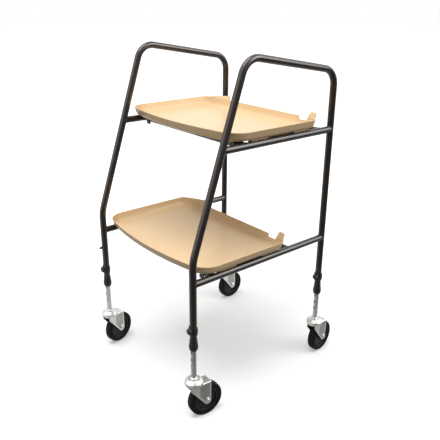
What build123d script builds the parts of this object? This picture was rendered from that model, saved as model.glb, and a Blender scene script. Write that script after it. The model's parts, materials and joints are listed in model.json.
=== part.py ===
"""Two-tray trolley for walking support: a bent steel tube frame on four height-adjustable castor legs.

Millimetres, +Z up. The front, where the uprights lean, faces -Y, and left and right are as seen from the
front. The origin is on the floor under the middle of the trolley.
"""

import os
from math import cos, pi, radians, sin, tan

from build123d import *

# Steel tube of the frame
TUBE_D = 19.0
TUBE_WALL = 1.2

# Side frames, measured on the tube's centre line
LEG_SPACING = 480.0
KNEE_HEIGHT = 467.0
HANDLE_FRONT_HEIGHT = 946.0
HANDLE_REAR_HEIGHT = 892.0
HANDLE_SETBACK = 162.0
KNEE_BEND_R = 130.0
HANDLE_BEND_R = 48.0

# Side rails and cross-bars
UPPER_RAIL_HEIGHT = 733.0
LOWER_RAIL_HEIGHT = 407.0
BAR_SPACING = 270.0
BAR_FROM_TRAY_FRONT = 69.5
SEAT_GAP = 0.05

# Moulded trays
TRAY_WIDTH = 480.0
TRAY_OVERHANG = 15.0
TRAY_LENGTH = 320.0
TRAY_HEIGHT = 24.7
TRAY_WALL = 3.0
TRAY_FOOT = 3.0
TRAY_REST_GAP = 0.3
UPPER_TRAY_SETBACK = 95.5
LOWER_TRAY_SETBACK = -2.5
FRONT_BOW = 29.5
FRONT_CORNER_R = 57.0
REAR_CORNER_R = 24.0
TRAY_DRAFT = 16.0
PAN_EDGE_R = 15.0
PAN_COVE_R = 12.0
RIM_ROUND_R = 1.3
WING_INSET = 21.0
WING_LENGTH = 91.0
WING_RISE = 11.0
WING_END_SLOPE = 5.0
LIP_LEAN = 40.0
LIP_ROOT = 3.0
LIP_END_R = 6.0
HORN_WIDTH = 20.0
HORN_INSET = 21.0
HORN_FLARE = 6.0
HORN_RISE = 12.0
NOTCH_WIDTH = 31.0
NOTCH_DEPTH = 9.5
NOTCH_R = 6.0
RIB_DROP = 11.0
RIB_WALL = 3.0
RIB_LENGTH = 56.0
RIB_GAP = 0.6
FOOT_WIDTH = 14.0
RIB_SPACING = 150.0
RIB_MIDDLE = 192.0

# Black clips that straddle each tray's front bar, and their screws
SADDLE_FROM_RAIL = 36.0
SADDLE_WIDTH = 16.0
SADDLE_WALL = 3.0
SADDLE_GAP = 0.3
SADDLE_BELOW_BAR = 3.5
SADDLE_FLANGE = 9.0
SADDLE_EDGE_R = 0.8
SCREW_R = 1.5
SCREW_HEAD_R = 3.0
SCREW_HEAD = 1.8
SCREW_BITE = 2.0

# Telescopic legs
LEG_D = 15.2
LEG_WALL = 1.2
LEG_FOOT_HEIGHT = 128.0
LEG_LENGTH = 240.0
HOLE_PITCH = 22.0
HOLES_BELOW = 5
HOLES_ABOVE = 3
HOLE_R = 3.3

# Plastic ferrule that guides each leg at the foot of the frame tube
FERRULE_TOP_HEIGHT = 251.0
FERRULE_LENGTH = 35.0
FERRULE_TAPER_LENGTH = 6.0
FERRULE_NECK_LENGTH = 18.0
FERRULE_LAP = 23.0
FERRULE_FOOT_R = 8.7
FERRULE_TAPER_R = 10.4
FERRULE_WIDEST_R = 11.0
FERRULE_TOP_R = 10.2
FERRULE_ROUND_R = 0.3
SLEEVE_LENGTH = 22.0
RUNNING_GAP = 0.05

# Snap clip whose pin sets the height of each leg
CLIP_HEIGHT = 24.0
CLIP_ABOVE_FERRULE = 14.0
CLIP_WALL = 3.2
CLIP_RIM_WALL = 1.8
CLIP_GAP = 0.1
CLIP_REACH = 5.0
CLIP_EDGE_R = 0.6
CLIP_PAD_R = 8.8
CLIP_PAD_RISE = 4.4
CLIP_PAD_ROUND_R = 3.2
CLIP_PAD_SKIN = 2.0
CLIP_PIN_R = 3.0
CLIP_PIN_TIP_R = 0.8

# Pointed stud on the front left upright
STUD_HEIGHT = 351.0
STUD_R = 7.0
STUD_TIP_R = 2.2
STUD_LENGTH = 9.5

# Castors
WHEEL_D = 100.0
TREAD_WIDTH = 24.0
TREAD_ROUND_R = 6.0
TYRE_INNER_R = 37.0
TYRE_GROOVE_R = 43.0
TYRE_GROOVE = 1.2
HUB_RIM_WIDTH = 20.0
HUB_RIM_WALL = 6.0
HUB_WEB = 12.0
HUB_BOSS_R = 11.0
HUB_SIDE_GAP = 0.5
CASTOR_TRAIL = 34.0
AXLE_R = 4.0
AXLE_HEAD_R = 6.5
AXLE_HEAD_RISE = 3.6
AXLE_HEAD_ROUND_R = 1.2
NUT_R = 6.2
NUT_HEIGHT = 4.5
THREAD_PAST_NUT = 1.5
FORK_SHEET = 2.5
FORK_SIDE_GAP = 2.0
FORK_TOP_CLEARANCE = 8.0
FORK_FOOT_R = 10.5
FORK_FRONT_R = 22.0
FORK_NOSE = 6.5
FORK_BEND_R = 3.0
PANEL_BORDER = 4.6
PANEL_DEPTH = 0.8
CAP_R = 25.0
CAP_WALL = 3.0
CAP_SHOULDER_R = 8.0
CAP_GAP = 1.5
CAP_HOLLOW = 6.0
COLLAR_R = 12.0
COLLAR_GAP = 0.3
KINGPIN_R = 6.0
KINGPIN_HEAD_R = 9.0
KINGPIN_HEAD = 4.0
KINGPIN_PLAY = 0.3
STEM_LENGTH = 30.0

# Direction in which each castor trails, in degrees from +X
TRAIL_ANGLES = {
    "front_left": 105.0,
    "front_right": 84.0,
    "rear_left": 92.0,
    "rear_right": 97.0,
}

# Cutters run past what they cut by this
OVERRUN = 5.0

TUBE_R = TUBE_D / 2
TUBE_BORE_R = TUBE_R - TUBE_WALL
LEG_R = LEG_D / 2
LEG_BORE_R = LEG_R - LEG_WALL
WHEEL_R = WHEEL_D / 2
FRAME_WIDTH = TRAY_WIDTH - 2 * TRAY_OVERHANG
SIDE_X = FRAME_WIDTH / 2
FRONT_Y = (CAP_R - CASTOR_TRAIL - WHEEL_R - LEG_SPACING) / 2
REAR_Y = FRONT_Y + LEG_SPACING
LEAN = HANDLE_SETBACK / (HANDLE_FRONT_HEIGHT - KNEE_HEIGHT)
TUBE_FOOT_HEIGHT = FERRULE_TOP_HEIGHT - FERRULE_LAP
FERRULE_FOOT_HEIGHT = FERRULE_TOP_HEIGHT - FERRULE_LENGTH
FERRULE_TAPER_HEIGHT = FERRULE_FOOT_HEIGHT + FERRULE_TAPER_LENGTH
FERRULE_WIDEST_HEIGHT = FERRULE_TOP_HEIGHT - FERRULE_NECK_LENGTH
PIN_HEIGHT = FERRULE_TOP_HEIGHT + CLIP_ABOVE_FERRULE + CLIP_HEIGHT / 2
SADDLE_X = SIDE_X - SADDLE_FROM_RAIL

LEGS = {
    "front_left": (-SIDE_X, FRONT_Y),
    "front_right": (SIDE_X, FRONT_Y),
    "rear_left": (-SIDE_X, REAR_Y),
    "rear_right": (SIDE_X, REAR_Y),
}
SHELVES = {
    "upper": (UPPER_RAIL_HEIGHT, FRONT_Y + UPPER_TRAY_SETBACK),
    "lower": (LOWER_RAIL_HEIGHT, FRONT_Y + LOWER_TRAY_SETBACK),
}


def write(part, name):
    """Label one finished piece and save it under its name."""
    part.label = name
    export_step(part, f"parts/{name}.step")


def upright_y(height):
    """Y of the front upright's centre line at a height."""
    return FRONT_Y + max(0, height - KNEE_HEIGHT) * LEAN


def across_leg(x, y):
    """Plane through a leg's centre line, with its normal to the front."""
    return Plane(origin=(x, y, 0), x_dir=(1, 0, 0), z_dir=(0, -1, 0))


# Side frames: one tube each, from the front foot over the knee and the handle down to the rear foot.
for side, x in (("left", -SIDE_X), ("right", SIDE_X)):
    with BuildPart() as side_frame:
        with BuildLine(Plane.YZ.offset(x)) as centre_line:
            FilletPolyline(
                (FRONT_Y, TUBE_FOOT_HEIGHT),
                (FRONT_Y, KNEE_HEIGHT),
                (FRONT_Y + HANDLE_SETBACK, HANDLE_FRONT_HEIGHT),
                (REAR_Y, HANDLE_REAR_HEIGHT),
                (REAR_Y, TUBE_FOOT_HEIGHT),
                radius=[KNEE_BEND_R, HANDLE_BEND_R, HANDLE_BEND_R],
            )
        with BuildSketch(Plane.XY.offset(TUBE_FOOT_HEIGHT)) as wall:
            with Locations((x, FRONT_Y)):
                Circle(TUBE_R)
                Circle(TUBE_BORE_R, mode=Mode.SUBTRACT)
        sweep(sections=wall.sketch, path=centre_line.line)
        # One hole through both walls at each foot, for the height clip's pin.
        for foot_y in (FRONT_Y, REAR_Y):
            with BuildSketch(across_leg(x, foot_y)):
                with Locations((0, PIN_HEIGHT)):
                    Circle(HOLE_R)
            extrude(amount=TUBE_D, both=True, mode=Mode.SUBTRACT)
    write(side_frame.part, f"{side}_side_frame")


# Side rails: straight tubes, coped at both ends to seat on the uprights.
for shelf, (height, tray_front) in SHELVES.items():
    front = upright_y(height)
    lean = LEAN if height > KNEE_HEIGHT else 0
    for side, x in (("left", -SIDE_X), ("right", SIDE_X)):
        with BuildPart() as rail:
            with BuildSketch(Plane(origin=(x, front, height), z_dir=(0, 1, 0))):
                Circle(TUBE_R)
                Circle(TUBE_BORE_R, mode=Mode.SUBTRACT)
            extrude(amount=REAR_Y - front)
            for seat_y, seat_lean in ((front, lean), (REAR_Y, 0)):
                with BuildSketch(Plane(origin=(x, seat_y, height), z_dir=(0, seat_lean, 1))):
                    Circle(TUBE_R + SEAT_GAP)
                extrude(amount=TUBE_D, both=True, mode=Mode.SUBTRACT)
        write(rail.part, f"{shelf}_{side}_rail")


# Cross-bars: two under each tray, coped at both ends to seat on the side rails.
for shelf, (height, tray_front) in SHELVES.items():
    front_bar_y = tray_front + BAR_FROM_TRAY_FRONT
    for place, bar_y in (("front", front_bar_y), ("rear", front_bar_y + BAR_SPACING)):
        with BuildPart() as bar:
            with BuildSketch(Plane.YZ):
                with Locations((bar_y, height)):
                    Circle(TUBE_R)
                    Circle(TUBE_BORE_R, mode=Mode.SUBTRACT)
            extrude(amount=SIDE_X, both=True)
            for x in (-SIDE_X, SIDE_X):
                with BuildSketch(Plane(origin=(x, bar_y, height), z_dir=(0, 1, 0))):
                    Circle(TUBE_R + SEAT_GAP)
                extrude(amount=TUBE_D, both=True, mode=Mode.SUBTRACT)
        write(bar.part, f"{shelf}_{place}_bar")


def lip_plane(rear, rim):
    """Plane up the back-leaning lip and horn, which root in the middle of the rear wall."""
    lean = radians(LIP_LEAN)
    return Plane(
        origin=(0, rear - TRAY_WALL / 2 - LIP_ROOT * tan(radians(TRAY_DRAFT)), rim - LIP_ROOT),
        x_dir=(1, 0, 0),
        z_dir=(0, -cos(lean), sin(lean)),
    )


# Trays: thin moulded pans with a bowed front, walls that lean outward and a wide round from floor to
# wall. A lip sweeps up and back along the rear left, and at the rear right a horn stands beside a notch
# in the wall. Four feet under each tray rest on the side rails and hook down inside them.
screw_reach = SADDLE_GAP + TUBE_R + SADDLE_WALL + SADDLE_FLANGE / 2
for shelf, (height, front) in SHELVES.items():
    half = TRAY_WIDTH / 2
    rear = front + TRAY_LENGTH
    rest = height + TUBE_R + TRAY_REST_GAP
    under = rest + TRAY_FOOT
    rim = under + TRAY_HEIGHT
    bar_y = front + BAR_FROM_TRAY_FRONT
    along = 1 / cos(radians(LIP_LEAN))
    wing_start = WING_INSET - half
    wing_end = wing_start + WING_LENGTH
    with BuildPart() as tray:
        with BuildSketch(Plane.XY.offset(rim)) as outline:
            with BuildLine():
                ThreePointArc((-half, front + FRONT_BOW), (0, front), (half, front + FRONT_BOW))
                Polyline(
                    (half, front + FRONT_BOW),
                    (half, rear),
                    (-half, rear),
                    (-half, front + FRONT_BOW),
                )
            make_face()
            fillet(outline.vertices().group_by(Axis.Y)[0], radius=FRONT_CORNER_R)
            fillet(outline.vertices().group_by(Axis.Y)[-1], radius=REAR_CORNER_R)
        extrude(amount=-TRAY_HEIGHT, taper=TRAY_DRAFT)
        fillet(tray.edges().group_by(Axis.Z)[0], radius=PAN_EDGE_R)
        with BuildPart(mode=Mode.SUBTRACT) as hollow:
            with BuildSketch(Plane.XY.offset(rim)):
                add(outline.sketch_local)
                offset(amount=-TRAY_WALL, mode=Mode.REPLACE)
            extrude(amount=TRAY_WALL - TRAY_HEIGHT, taper=TRAY_DRAFT)
            fillet(hollow.edges().group_by(Axis.Z)[0], radius=PAN_COVE_R)
        fillet(tray.edges().group_by(Axis.Z)[-1], radius=RIM_ROUND_R)
        # The notch in the rear wall, just inside the horn.
        with BuildSketch(Plane(origin=(0, rear, rim), x_dir=(1, 0, 0), z_dir=(0, -1, 0))):
            with Locations((half - HORN_INSET - HORN_WIDTH - NOTCH_WIDTH / 2, 0)):
                RectangleRounded(NOTCH_WIDTH, 2 * NOTCH_DEPTH, NOTCH_R)
        extrude(amount=TRAY_HEIGHT / 2, both=True, mode=Mode.SUBTRACT)
        # The lip rises from the rear left corner to a rounded end.
        with BuildSketch(lip_plane(rear, rim)) as lip:
            with BuildLine():
                Polyline(
                    (wing_start, 0),
                    (wing_start, LIP_ROOT * along),
                    (wing_end - WING_END_SLOPE, (LIP_ROOT + WING_RISE) * along),
                    (wing_end, 0),
                    close=True,
                )
            make_face()
            fillet(lip.vertices().group_by(Axis.Y)[-1], radius=LIP_END_R)
        extrude(amount=TRAY_WALL / 2, both=True)
        with BuildSketch(lip_plane(rear, rim)) as horn:
            with BuildLine():
                Polyline(
                    (half - HORN_INSET - HORN_WIDTH, 0),
                    (half - HORN_INSET - HORN_WIDTH, (LIP_ROOT + HORN_RISE) * along),
                    (half - HORN_INSET, (LIP_ROOT + HORN_RISE) * along),
                    (half - HORN_INSET + HORN_FLARE, 0),
                    close=True,
                )
            make_face()
            fillet(horn.vertices().group_by(Axis.Y)[-1], radius=LIP_END_R)
        extrude(amount=TRAY_WALL / 2, both=True)
        # Feet and hooks.
        hook_x = SIDE_X - TUBE_R - RIB_GAP
        for hand, edge in ((-1, Align.MAX), (1, Align.MIN)):
            for foot_y in (RIB_MIDDLE - RIB_SPACING / 2, RIB_MIDDLE + RIB_SPACING / 2):
                with BuildSketch(Plane.XY.offset(rest)):
                    with Locations((hand * (hook_x - RIB_WALL), front + foot_y)):
                        Rectangle(FOOT_WIDTH, RIB_LENGTH, align=(edge, Align.CENTER))
                extrude(amount=TRAY_FOOT + TRAY_WALL)
                with BuildSketch(Plane.XY.offset(under)):
                    with Locations((hand * (hook_x - RIB_WALL), front + foot_y)):
                        Rectangle(RIB_WALL, RIB_LENGTH, align=(edge, Align.CENTER))
                extrude(amount=-RIB_DROP)
        # Blind holes for the saddle screws.
        for x in (-SADDLE_X, SADDLE_X):
            with BuildSketch(Plane.XY.offset(under)):
                with Locations((x, bar_y - screw_reach), (x, bar_y + screw_reach)):
                    Circle(SCREW_R)
            extrude(amount=SCREW_BITE + SEAT_GAP, mode=Mode.SUBTRACT)
    write(tray.part, f"{shelf}_tray")

    # Saddles: U-shaped clips astride the front bar, flanged fore and aft.
    inside = TUBE_R + SADDLE_GAP
    plate_top = under - SEAT_GAP
    plate_under = height + TUBE_R + SADDLE_GAP
    saddle_foot = height - TUBE_R - SADDLE_BELOW_BAR
    with BuildPart() as saddles:
        for x in (-SADDLE_X, SADDLE_X):
            with BuildSketch(Plane.YZ.offset(x)):
                with BuildLine():
                    Polyline(
                        (bar_y - inside - SADDLE_WALL - SADDLE_FLANGE, plate_top),
                        (bar_y + inside + SADDLE_WALL + SADDLE_FLANGE, plate_top),
                        (bar_y + inside + SADDLE_WALL + SADDLE_FLANGE, plate_under),
                        (bar_y + inside + SADDLE_WALL, plate_under),
                        (bar_y + inside + SADDLE_WALL, saddle_foot),
                        (bar_y + inside, saddle_foot),
                        (bar_y + inside, plate_under),
                        (bar_y - inside, plate_under),
                        (bar_y - inside, saddle_foot),
                        (bar_y - inside - SADDLE_WALL, saddle_foot),
                        (bar_y - inside - SADDLE_WALL, plate_under),
                        (bar_y - inside - SADDLE_WALL - SADDLE_FLANGE, plate_under),
                        close=True,
                    )
                make_face()
            extrude(amount=SADDLE_WIDTH / 2, both=True)
            with BuildSketch(Plane.XY.offset(plate_top)):
                with Locations((x, bar_y - screw_reach), (x, bar_y + screw_reach)):
                    Circle(SCREW_R + SEAT_GAP)
            extrude(amount=-TRAY_FOOT, mode=Mode.SUBTRACT)
        fillet(saddles.edges().group_by(Axis.Z)[0].filter_by(Axis.X), radius=SADDLE_EDGE_R)
    write(saddles.part, f"{shelf}_tray_clips")

    # Screws: pan heads under the flanges, shanks up into the tray's floor.
    with BuildPart() as screws:
        for x in (-SADDLE_X, SADDLE_X):
            with BuildSketch(Plane.XY.offset(plate_under - SEAT_GAP)):
                with Locations((x, bar_y - screw_reach), (x, bar_y + screw_reach)):
                    Circle(SCREW_HEAD_R)
            extrude(amount=-SCREW_HEAD)
            with BuildSketch(Plane.XY.offset(plate_under - SEAT_GAP)):
                with Locations((x, bar_y - screw_reach), (x, bar_y + screw_reach)):
                    Circle(SCREW_R)
            extrude(amount=under + SCREW_BITE - plate_under + SEAT_GAP)
    write(screws.part, f"{shelf}_tray_screws")


# Ferrules: a tapered collar round the foot of the frame tube, with a sleeve up inside it.
for corner, (x, y) in LEGS.items():
    collar_bore = TUBE_R + SEAT_GAP
    sleeve_r = TUBE_BORE_R - SEAT_GAP
    leg_bore = LEG_R + RUNNING_GAP
    tube_foot = TUBE_FOOT_HEIGHT - SEAT_GAP
    sleeve_top = TUBE_FOOT_HEIGHT + SLEEVE_LENGTH
    with BuildPart() as ferrule:
        with BuildSketch(Plane(origin=(x, y, 0), x_dir=(1, 0, 0), z_dir=(0, -1, 0))):
            with BuildLine():
                Polyline(
                    (leg_bore, FERRULE_FOOT_HEIGHT),
                    (FERRULE_FOOT_R, FERRULE_FOOT_HEIGHT),
                    (FERRULE_TAPER_R, FERRULE_TAPER_HEIGHT),
                    (FERRULE_WIDEST_R, FERRULE_WIDEST_HEIGHT),
                    (FERRULE_TOP_R, FERRULE_TOP_HEIGHT),
                    (collar_bore, FERRULE_TOP_HEIGHT),
                    (collar_bore, tube_foot),
                    (sleeve_r, tube_foot),
                    (sleeve_r, sleeve_top),
                    (leg_bore, sleeve_top),
                    close=True,
                )
            make_face()
        revolve(axis=Axis((x, y, 0), (0, 0, 1)))
        fillet(ferrule.edges().group_by(Axis.Z)[-1], radius=FERRULE_ROUND_R)
    write(ferrule.part, f"{corner}_ferrule")


# Legs: chromed tubes with a row of height holes from front to back through both walls.
for corner, (x, y) in LEGS.items():
    with BuildPart() as leg:
        with BuildSketch(Plane.XY.offset(LEG_FOOT_HEIGHT)):
            with Locations((x, y)):
                Circle(LEG_R)
                Circle(LEG_BORE_R, mode=Mode.SUBTRACT)
        extrude(amount=LEG_LENGTH)
        with BuildSketch(across_leg(x, y)):
            for step in range(-HOLES_BELOW, HOLES_ABOVE + 1):
                with Locations((0, PIN_HEIGHT + step * HOLE_PITCH)):
                    Circle(HOLE_R)
        extrude(amount=LEG_D, both=True, mode=Mode.SUBTRACT)
    write(leg.part, f"{corner}_leg")


# Snap clips: a barrel-shaped saddle round the frame tube, open to the rear, with a thumb pad in front,
# and the steel pin that goes from the pad through the frame tube and the leg.
for corner, (x, y) in LEGS.items():
    clip_bore = TUBE_R + CLIP_GAP
    clip_r = clip_bore + CLIP_WALL
    clip_rim_r = clip_bore + CLIP_RIM_WALL
    clip_foot = PIN_HEIGHT - CLIP_HEIGHT / 2
    clip_top = PIN_HEIGHT + CLIP_HEIGHT / 2
    pad_face = clip_r + CLIP_PAD_RISE
    with BuildPart() as clip:
        with BuildSketch(across_leg(x, y)) as section:
            with BuildLine():
                ThreePointArc((clip_rim_r, clip_foot), (clip_r, PIN_HEIGHT), (clip_rim_r, clip_top))
                Polyline(
                    (clip_rim_r, clip_top),
                    (clip_bore, clip_top),
                    (clip_bore, clip_foot),
                    (clip_rim_r, clip_foot),
                )
            make_face()
            fillet(section.vertices().group_by(Axis.X)[-1], radius=CLIP_EDGE_R)
        revolve(axis=Axis((x, y, 0), (0, 0, 1)))
        with BuildSketch(Plane.XY.offset(PIN_HEIGHT)):
            with Locations((x, y)):
                Rectangle(2 * clip_bore, 2 * clip_r, align=(Align.CENTER, Align.MIN))
            with Locations((x, y + CLIP_REACH)):
                Rectangle(4 * clip_r, 2 * clip_r, align=(Align.CENTER, Align.MIN))
        extrude(amount=CLIP_HEIGHT, both=True, mode=Mode.SUBTRACT)
        with BuildSketch(across_leg(x, y).offset(clip_bore + SEAT_GAP)):
            with Locations((0, PIN_HEIGHT)):
                Circle(CLIP_PAD_R)
        extrude(amount=CLIP_WALL - SEAT_GAP + CLIP_PAD_RISE)
        fillet(clip.edges().group_by(Axis.Y)[0], radius=CLIP_PAD_ROUND_R)
        with BuildSketch(across_leg(x, y).offset(clip_bore - OVERRUN)):
            with Locations((0, PIN_HEIGHT)):
                Circle(CLIP_PIN_R + SEAT_GAP)
        extrude(amount=OVERRUN + CLIP_WALL + CLIP_PAD_RISE - CLIP_PAD_SKIN, mode=Mode.SUBTRACT)
    write(clip.part, f"{corner}_clip")

    with BuildPart() as clip_pin:
        with BuildSketch(across_leg(x, y).offset(-TUBE_R)):
            with Locations((0, PIN_HEIGHT)):
                Circle(CLIP_PIN_R)
        extrude(amount=TUBE_R + pad_face - CLIP_PAD_SKIN - SEAT_GAP)
        chamfer(clip_pin.edges().group_by(Axis.Y)[-1], length=CLIP_PIN_TIP_R)
    write(clip_pin.part, f"{corner}_clip_pin")


# Stud: a blunt cone on the front left upright only, coped to the tube.
stud_x, stud_y = LEGS["front_left"]
with BuildPart() as stud:
    with BuildSketch(across_leg(stud_x, stud_y)):
        with Locations((0, STUD_HEIGHT)):
            Circle(STUD_R)
    with BuildSketch(across_leg(stud_x, stud_y).offset(TUBE_R + STUD_LENGTH)):
        with Locations((0, STUD_HEIGHT)):
            Circle(STUD_TIP_R)
    loft()
    fillet(stud.edges().group_by(Axis.Y)[0], radius=STUD_TIP_R / 2)
    with BuildSketch(Plane.XY.offset(STUD_HEIGHT)):
        with Locations((stud_x, stud_y)):
            Circle(TUBE_R + SEAT_GAP)
    extrude(amount=TUBE_D, both=True, mode=Mode.SUBTRACT)
write(stud.part, "front_left_stud")


# Castors: a domed cap on each leg's foot, and under it a swivelling pressed fork with a trailing wheel.
crown_under = WHEEL_D + FORK_TOP_CLEARANCE
crown_top = crown_under + FORK_SHEET
cap_foot = crown_top + CAP_GAP
cap_top = LEG_FOOT_HEIGHT - SEAT_GAP
fork_inner = TREAD_WIDTH / 2 + FORK_SIDE_GAP
fork_outer = fork_inner + FORK_SHEET
foot_back = CASTOR_TRAIL + FORK_FOOT_R
for corner, (x, y) in LEGS.items():
    angle = radians(TRAIL_ANGLES[corner])
    trail_dir = (cos(angle), sin(angle), 0)
    axle_dir = (sin(angle), -cos(angle), 0)
    axle_centre = (x + CASTOR_TRAIL * cos(angle), y + CASTOR_TRAIL * sin(angle), WHEEL_R)
    side = Plane(origin=(x, y, 0), x_dir=trail_dir, z_dir=axle_dir)
    top = Plane(origin=(x, y, 0), x_dir=trail_dir, z_dir=(0, 0, 1))
    radial = Plane(origin=axle_centre, x_dir=axle_dir, z_dir=(-cos(angle), -sin(angle), 0))
    axle = Axis(axle_centre, axle_dir)

    with BuildPart() as head:
        with BuildSketch(Plane(origin=(x, y, 0), x_dir=(1, 0, 0), z_dir=(0, -1, 0))) as profile:
            with BuildLine():
                Polyline(
                    (0, LEG_FOOT_HEIGHT + STEM_LENGTH),
                    (LEG_BORE_R - SEAT_GAP, LEG_FOOT_HEIGHT + STEM_LENGTH),
                    (LEG_BORE_R - SEAT_GAP, cap_top),
                    (CAP_R - CAP_SHOULDER_R, cap_top),
                    (CAP_R, cap_top - CAP_SHOULDER_R),
                    (CAP_R, cap_foot),
                    (CAP_R - CAP_WALL, cap_foot),
                    (CAP_R - CAP_WALL, cap_foot + CAP_HOLLOW),
                    (COLLAR_R, cap_foot + CAP_HOLLOW),
                    (COLLAR_R, crown_top + COLLAR_GAP),
                    (KINGPIN_R, crown_top + COLLAR_GAP),
                    (KINGPIN_R, crown_under - KINGPIN_PLAY),
                    (KINGPIN_HEAD_R, crown_under - KINGPIN_PLAY),
                    (KINGPIN_HEAD_R, crown_under - KINGPIN_PLAY - KINGPIN_HEAD),
                    (0, crown_under - KINGPIN_PLAY - KINGPIN_HEAD),
                    close=True,
                )
            make_face()
        revolve(axis=Axis((x, y, 0), (0, 0, 1)))
        # The cap's shoulder is a dome rather than the straight taper of the profile.
        shoulder = head.edges().filter_by(GeomType.CIRCLE).filter_by_position(
            Axis.Z, cap_top - CAP_SHOULDER_R, cap_top
        )
        by_radius = shoulder.group_by(SortBy.RADIUS)
        fillet(by_radius[-1] + by_radius[-2], radius=CAP_SHOULDER_R / 2)
    write(head.part, f"{corner}_castor_head")

    with BuildPart() as fork:
        with BuildSketch(side) as fork_side:
            with Locations((-FORK_FRONT_R, crown_top)):
                Rectangle(FORK_FRONT_R + foot_back, FORK_NOSE, align=(Align.MIN, Align.MAX))
            with Locations((CASTOR_TRAIL, WHEEL_R)):
                Circle(FORK_FOOT_R)
            make_hull()
        extrude(amount=fork_outer, both=True)
        fillet(fork.edges().filter_by(lambda e: e.center().Z > crown_top - SEAT_GAP and
               abs(e.tangent_at(0).dot(Vector(*trail_dir))) > cos(pi / 4)), radius=FORK_BEND_R)
        # Plan of the crown: round at the front, about the swivel.
        with BuildSketch(top):
            Circle(FORK_FRONT_R)
            Rectangle(2 * foot_back, 2 * fork_outer, align=(Align.MIN, Align.CENTER))
        extrude(amount=crown_top, mode=Mode.INTERSECT)
        with BuildSketch(side):
            with Locations((-FORK_FRONT_R - OVERRUN, crown_under)):
                Rectangle(FORK_FRONT_R + foot_back + 2 * OVERRUN, crown_under, align=(Align.MIN, Align.MAX))
        extrude(amount=fork_inner, both=True, mode=Mode.SUBTRACT)
        with BuildSketch(top):
            Circle(KINGPIN_R + KINGPIN_PLAY)
        extrude(amount=crown_top + OVERRUN, mode=Mode.SUBTRACT)
        with BuildSketch(side):
            with Locations((CASTOR_TRAIL, WHEEL_R)):
                Circle(AXLE_R + SEAT_GAP)
        extrude(amount=2 * fork_outer, both=True, mode=Mode.SUBTRACT)
        # A shallow panel in each cheek leaves a raised border.
        for face in (fork_outer, -fork_outer):
            with BuildSketch(side.offset(face)) as panel:
                add(fork_side.sketch_local)
                offset(amount=-PANEL_BORDER, mode=Mode.REPLACE)
                with Locations((CASTOR_TRAIL, WHEEL_R)):
                    Circle(FORK_FOOT_R, mode=Mode.SUBTRACT)
            extrude(amount=PANEL_DEPTH, both=True, mode=Mode.SUBTRACT)
    write(fork.part, f"{corner}_fork")

    with BuildPart() as tyre:
        with BuildSketch(side):
            with Locations((CASTOR_TRAIL, WHEEL_R)):
                Circle(WHEEL_R)
                Circle(TYRE_INNER_R, mode=Mode.SUBTRACT)
        extrude(amount=TREAD_WIDTH / 2, both=True)
        fillet(tyre.edges().filter_by(GeomType.CIRCLE).group_by(SortBy.RADIUS)[-1], radius=TREAD_ROUND_R)
        for face in (TREAD_WIDTH / 2, -TREAD_WIDTH / 2):
            with BuildSketch(side.offset(face)):
                with Locations((CASTOR_TRAIL, WHEEL_R)):
                    Circle(TYRE_GROOVE_R)
                    Circle(TYRE_GROOVE_R - TYRE_GROOVE, mode=Mode.SUBTRACT)
            extrude(amount=TYRE_GROOVE, both=True, mode=Mode.SUBTRACT)
    write(tyre.part, f"{corner}_tyre")

    with BuildPart() as hub:
        hub_r = TYRE_INNER_R - SEAT_GAP
        boss = fork_inner - HUB_SIDE_GAP
        with BuildSketch(radial):
            with BuildLine():
                Polyline(
                    (-boss, AXLE_R + RUNNING_GAP),
                    (-boss, HUB_BOSS_R),
                    (-HUB_WEB / 2, HUB_BOSS_R),
                    (-HUB_WEB / 2, hub_r - HUB_RIM_WALL),
                    (-HUB_RIM_WIDTH / 2, hub_r - HUB_RIM_WALL),
                    (-HUB_RIM_WIDTH / 2, hub_r),
                    (HUB_RIM_WIDTH / 2, hub_r),
                    (HUB_RIM_WIDTH / 2, hub_r - HUB_RIM_WALL),
                    (HUB_WEB / 2, hub_r - HUB_RIM_WALL),
                    (HUB_WEB / 2, HUB_BOSS_R),
                    (boss, HUB_BOSS_R),
                    (boss, AXLE_R + RUNNING_GAP),
                    close=True,
                )
            make_face()
        revolve(axis=axle)
    write(hub.part, f"{corner}_hub")

    with BuildPart() as bolt:
        with BuildSketch(side.offset(fork_outer + SEAT_GAP)):
            with Locations((CASTOR_TRAIL, WHEEL_R)):
                Circle(AXLE_HEAD_R)
        extrude(amount=AXLE_HEAD_RISE)
        fillet(bolt.edges().group_by(Axis(side.origin, axle_dir))[-1], radius=AXLE_HEAD_ROUND_R)
        with BuildSketch(side.offset(fork_outer + SEAT_GAP)):
            with Locations((CASTOR_TRAIL, WHEEL_R)):
                Circle(AXLE_R)
        extrude(amount=-2 * fork_outer - 2 * SEAT_GAP - NUT_HEIGHT - THREAD_PAST_NUT)
    write(bolt.part, f"{corner}_axle_bolt")

    with BuildPart() as nut:
        with BuildSketch(side.offset(-fork_outer - SEAT_GAP)):
            with Locations((CASTOR_TRAIL, WHEEL_R)):
                RegularPolygon(NUT_R, 6)
                Circle(AXLE_R + SEAT_GAP, mode=Mode.SUBTRACT)
        extrude(amount=-NUT_HEIGHT)
    write(nut.part, f"{corner}_axle_nut")
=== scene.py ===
# %% [markdown]
# A two-tray walking trolley, dressed for the picture. The CAD model gives every piece its true place and
# size, and this script adds what a designer would look at next: bent tube with an even wall, weld beads,
# pressed and moulded edges that catch the light, and a finish for every surface. All lengths are in metres.

import json
from math import cos, degrees, pi, radians, sin, sqrt, tan

import bpy
from mathutils import Matrix, Vector

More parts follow.
